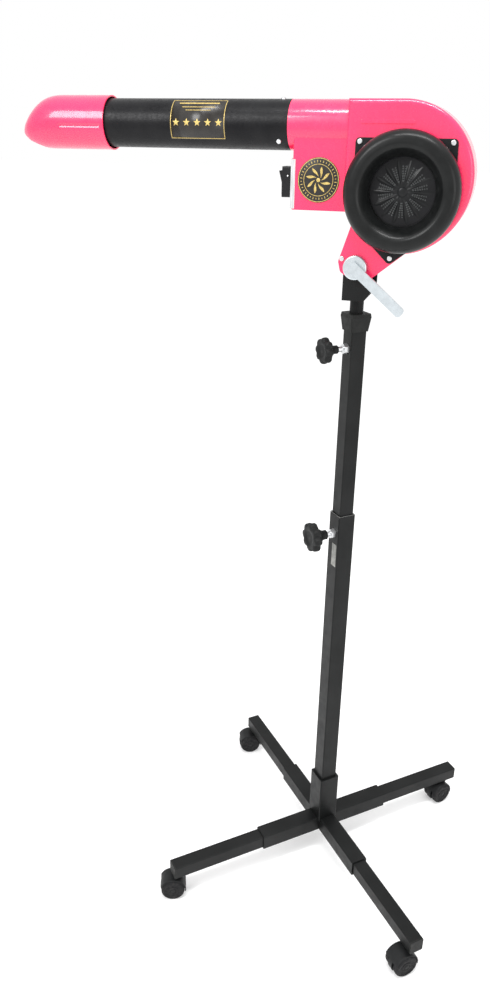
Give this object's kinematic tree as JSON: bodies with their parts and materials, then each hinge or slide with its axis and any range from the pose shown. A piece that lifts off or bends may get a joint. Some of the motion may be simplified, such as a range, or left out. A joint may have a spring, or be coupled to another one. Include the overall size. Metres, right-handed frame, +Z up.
{
  "type": "pedestal blower dryer",
  "caption": "Hands-free salon blower dryer on a wheeled telescopic stand: scroll housing, outlet tube with turning nozzle, tilting yoke and swivel casters.",
  "frame": {"origin": "on the floor, under the mast's axis", "axes": "+Z up along the mast; the outlet tube points along -X and the intake faces -Y at rest"},
  "size_m": [0.7516, 0.4895, 1.3163],
  "materials": {
    "black_powder_coat": "satin",
    "tube_coat": "satin",
    "pink_shell": "gloss",
    "zinc_steel": "satin",
    "lever_zinc": "polished",
    "black_plastic": "matte",
    "ring_plastic": "satin",
    "caster_hood": "matte",
    "caster_tread": "matte",
    "switch_plate_metal": "satin",
    "badge_print": "satin",
    "label_print": "satin",
    "stator_iron": "satin",
    "mica": "matte",
    "heater_wire": "satin",
    "thermostat_brass": "satin"
  },
  "bodies": {
    "base": {"base_hub": "black_powder_coat", "leg_1": "black_powder_coat", "leg_2": "black_powder_coat", "leg_3": "black_powder_coat", "leg_4": "black_powder_coat", "leg_end_plugs": "black_plastic", "leg_screws": "zinc_steel", "mast_outer": "black_powder_coat", "height_nut": "zinc_steel"},
    "height_knob": {"height_knob": "black_plastic", "height_knob_screw": "zinc_steel"},
    "upper_mast": {"mast_inner": "black_powder_coat", "mast_cap": "black_plastic", "swivel_nut": "zinc_steel", "mast_slide_plug": "black_plastic"},
    "swivel_knob": {"swivel_knob": "black_plastic", "swivel_knob_screw": "zinc_steel"},
    "yoke": {"yoke": "black_powder_coat", "spigot": "zinc_steel", "pivot_bolt": "zinc_steel"},
    "clamp_lever": {"clamp_lever": "lever_zinc"},
    "head": {"housing_front": "pink_shell", "housing_rear": "pink_shell", "housing_screws": "zinc_steel", "lug_screw": "zinc_steel", "tube": "tube_coat", "tube_screws": "zinc_steel", "intake_ring": "ring_plastic", "intake_screws": "zinc_steel", "intake_guard": "ring_plastic", "switch_plate": "switch_plate_metal", "switch_body": "black_plastic", "badge": "badge_print", "tube_label": "label_print", "motor_stator": "stator_iron", "motor_cover": "black_plastic", "heater_frame": "mica", "heater_coils": "heater_wire", "thermostat": "thermostat_brass", "cable_gland": "black_plastic"},
    "nozzle": {"nozzle": "pink_shell"},
    "rocker": {"switch_rocker": "black_plastic"},
    "fan": {"impeller": "black_plastic", "motor_shaft": "zinc_steel"},
    "caster_1": {"caster_1_housing": "caster_hood", "caster_1_pins": "zinc_steel"},
    "caster_1_left_wheel": {"caster_1_wheel_left": "caster_tread"},
    "caster_1_right_wheel": {"caster_1_wheel_right": "caster_tread"},
    "caster_2": {"caster_2_housing": "caster_hood", "caster_2_pins": "zinc_steel"},
    "caster_2_left_wheel": {"caster_2_wheel_left": "caster_tread"},
    "caster_2_right_wheel": {"caster_2_wheel_right": "caster_tread"},
    "caster_3": {"caster_3_housing": "caster_hood", "caster_3_pins": "zinc_steel"},
    "caster_3_left_wheel": {"caster_3_wheel_left": "caster_tread"},
    "caster_3_right_wheel": {"caster_3_wheel_right": "caster_tread"},
    "caster_4": {"caster_4_housing": "caster_hood", "caster_4_pins": "zinc_steel"},
    "caster_4_left_wheel": {"caster_4_wheel_left": "caster_tread"},
    "caster_4_right_wheel": {"caster_4_wheel_right": "caster_tread"}
  },
  "joints": [
    {"name": "caster_1_swivel", "type": "hinge", "parent": "base", "child": "caster_1", "pos_m": [-0.21637, -0.19757, 0.045], "axis": [0, 0, 1], "continuous": true},
    {"name": "caster_1_left_spin", "type": "hinge", "parent": "caster_1", "child": "caster_1_left_wheel", "pos_m": [-0.23477, -0.19206, 0.021], "axis": [0.3746, -0.9272, 0], "continuous": true},
    {"name": "caster_1_right_spin", "type": "hinge", "parent": "caster_1", "child": "caster_1_right_wheel", "pos_m": [-0.22578, -0.21432, 0.021], "axis": [0.3746, -0.9272, 0], "continuous": true},
    {"name": "caster_2_swivel", "type": "hinge", "parent": "base", "child": "caster_2", "pos_m": [0.21637, 0.19757, 0.045], "axis": [0, 0, 1], "continuous": true},
    {"name": "caster_2_left_spin", "type": "hinge", "parent": "caster_2", "child": "caster_2_left_wheel", "pos_m": [0.19741, 0.19445, 0.021], "axis": [0.7431, -0.6691, 0], "continuous": true},
    {"name": "caster_2_right_spin", "type": "hinge", "parent": "caster_2", "child": "caster_2_right_wheel", "pos_m": [0.21525, 0.17839, 0.021], "axis": [0.7431, -0.6691, 0], "continuous": true},
    {"name": "caster_3_swivel", "type": "hinge", "parent": "base", "child": "caster_3", "pos_m": [-0.19757, 0.21637, 0.045], "axis": [0, 0, 1], "continuous": true},
    {"name": "caster_3_left_spin", "type": "hinge", "parent": "caster_3", "child": "caster_3_left_wheel", "pos_m": [-0.21616, 0.22123, 0.021], "axis": [0.4067, -0.9135, 0], "continuous": true},
    {"name": "caster_3_right_spin", "type": "hinge", "parent": "caster_3", "child": "caster_3_right_wheel", "pos_m": [-0.20639, 0.1993, 0.021], "axis": [0.4067, -0.9135, 0], "continuous": true},
    {"name": "caster_4_swivel", "type": "hinge", "parent": "base", "child": "caster_4", "pos_m": [0.19757, -0.21637, 0.045], "axis": [0, 0, 1], "continuous": true},
    {"name": "caster_4_left_spin", "type": "hinge", "parent": "caster_4", "child": "caster_4_left_wheel", "pos_m": [0.17839, -0.21749, 0.021], "axis": [0.6691, -0.7431, 0], "continuous": true},
    {"name": "caster_4_right_spin", "type": "hinge", "parent": "caster_4", "child": "caster_4_right_wheel", "pos_m": [0.19445, -0.23532, 0.021], "axis": [0.6691, -0.7431, 0], "continuous": true},
    {"name": "mast_height", "type": "slide", "parent": "base", "child": "upper_mast", "axis": [0, 0, 1], "range_m": [-0.235, 0.18]},
    {"name": "height_knob_turn", "type": "hinge", "parent": "base", "child": "height_knob", "pos_m": [-0.02954, -0.02697, 0.679], "axis": [-0.7385, -0.6743, 0], "range_deg": [0, 360]},
    {"name": "swivel_knob_turn", "type": "hinge", "parent": "upper_mast", "child": "swivel_knob", "pos_m": [-0.02954, -0.02697, 0.982], "axis": [-0.7385, -0.6743, 0], "range_deg": [0, 360]},
    {"name": "head_swivel", "type": "hinge", "parent": "upper_mast", "child": "yoke", "pos_m": [0, 0, 1], "axis": [0, 0, 1], "continuous": true},
    {"name": "head_tilt", "type": "hinge", "parent": "yoke", "child": "head", "pos_m": [0.0005, 0, 1.1025], "axis": [0, 1, 0], "range_deg": [-60, 40]},
    {"name": "clamp_lever_turn", "type": "hinge", "parent": "yoke", "child": "clamp_lever", "pos_m": [0.0005, -0.042, 1.1025], "axis": [0, 1, 0], "range_deg": [-45, 0]},
    {"name": "nozzle_turn", "type": "hinge", "parent": "head", "child": "nozzle", "pos_m": [-0.4, 0, 1.28], "axis": [1, 0, 0], "range_deg": [-180, 180]},
    {"name": "switch_rock", "type": "hinge", "parent": "head", "child": "rocker", "pos_m": [-0.1105, 0, 1.208], "axis": [0, 1, 0], "range_deg": [0, 16]},
    {"name": "fan_spin", "type": "hinge", "parent": "head", "child": "fan", "pos_m": [0.0565, 0.02, 1.2015], "axis": [0, 1, 0], "continuous": true}
  ]
}
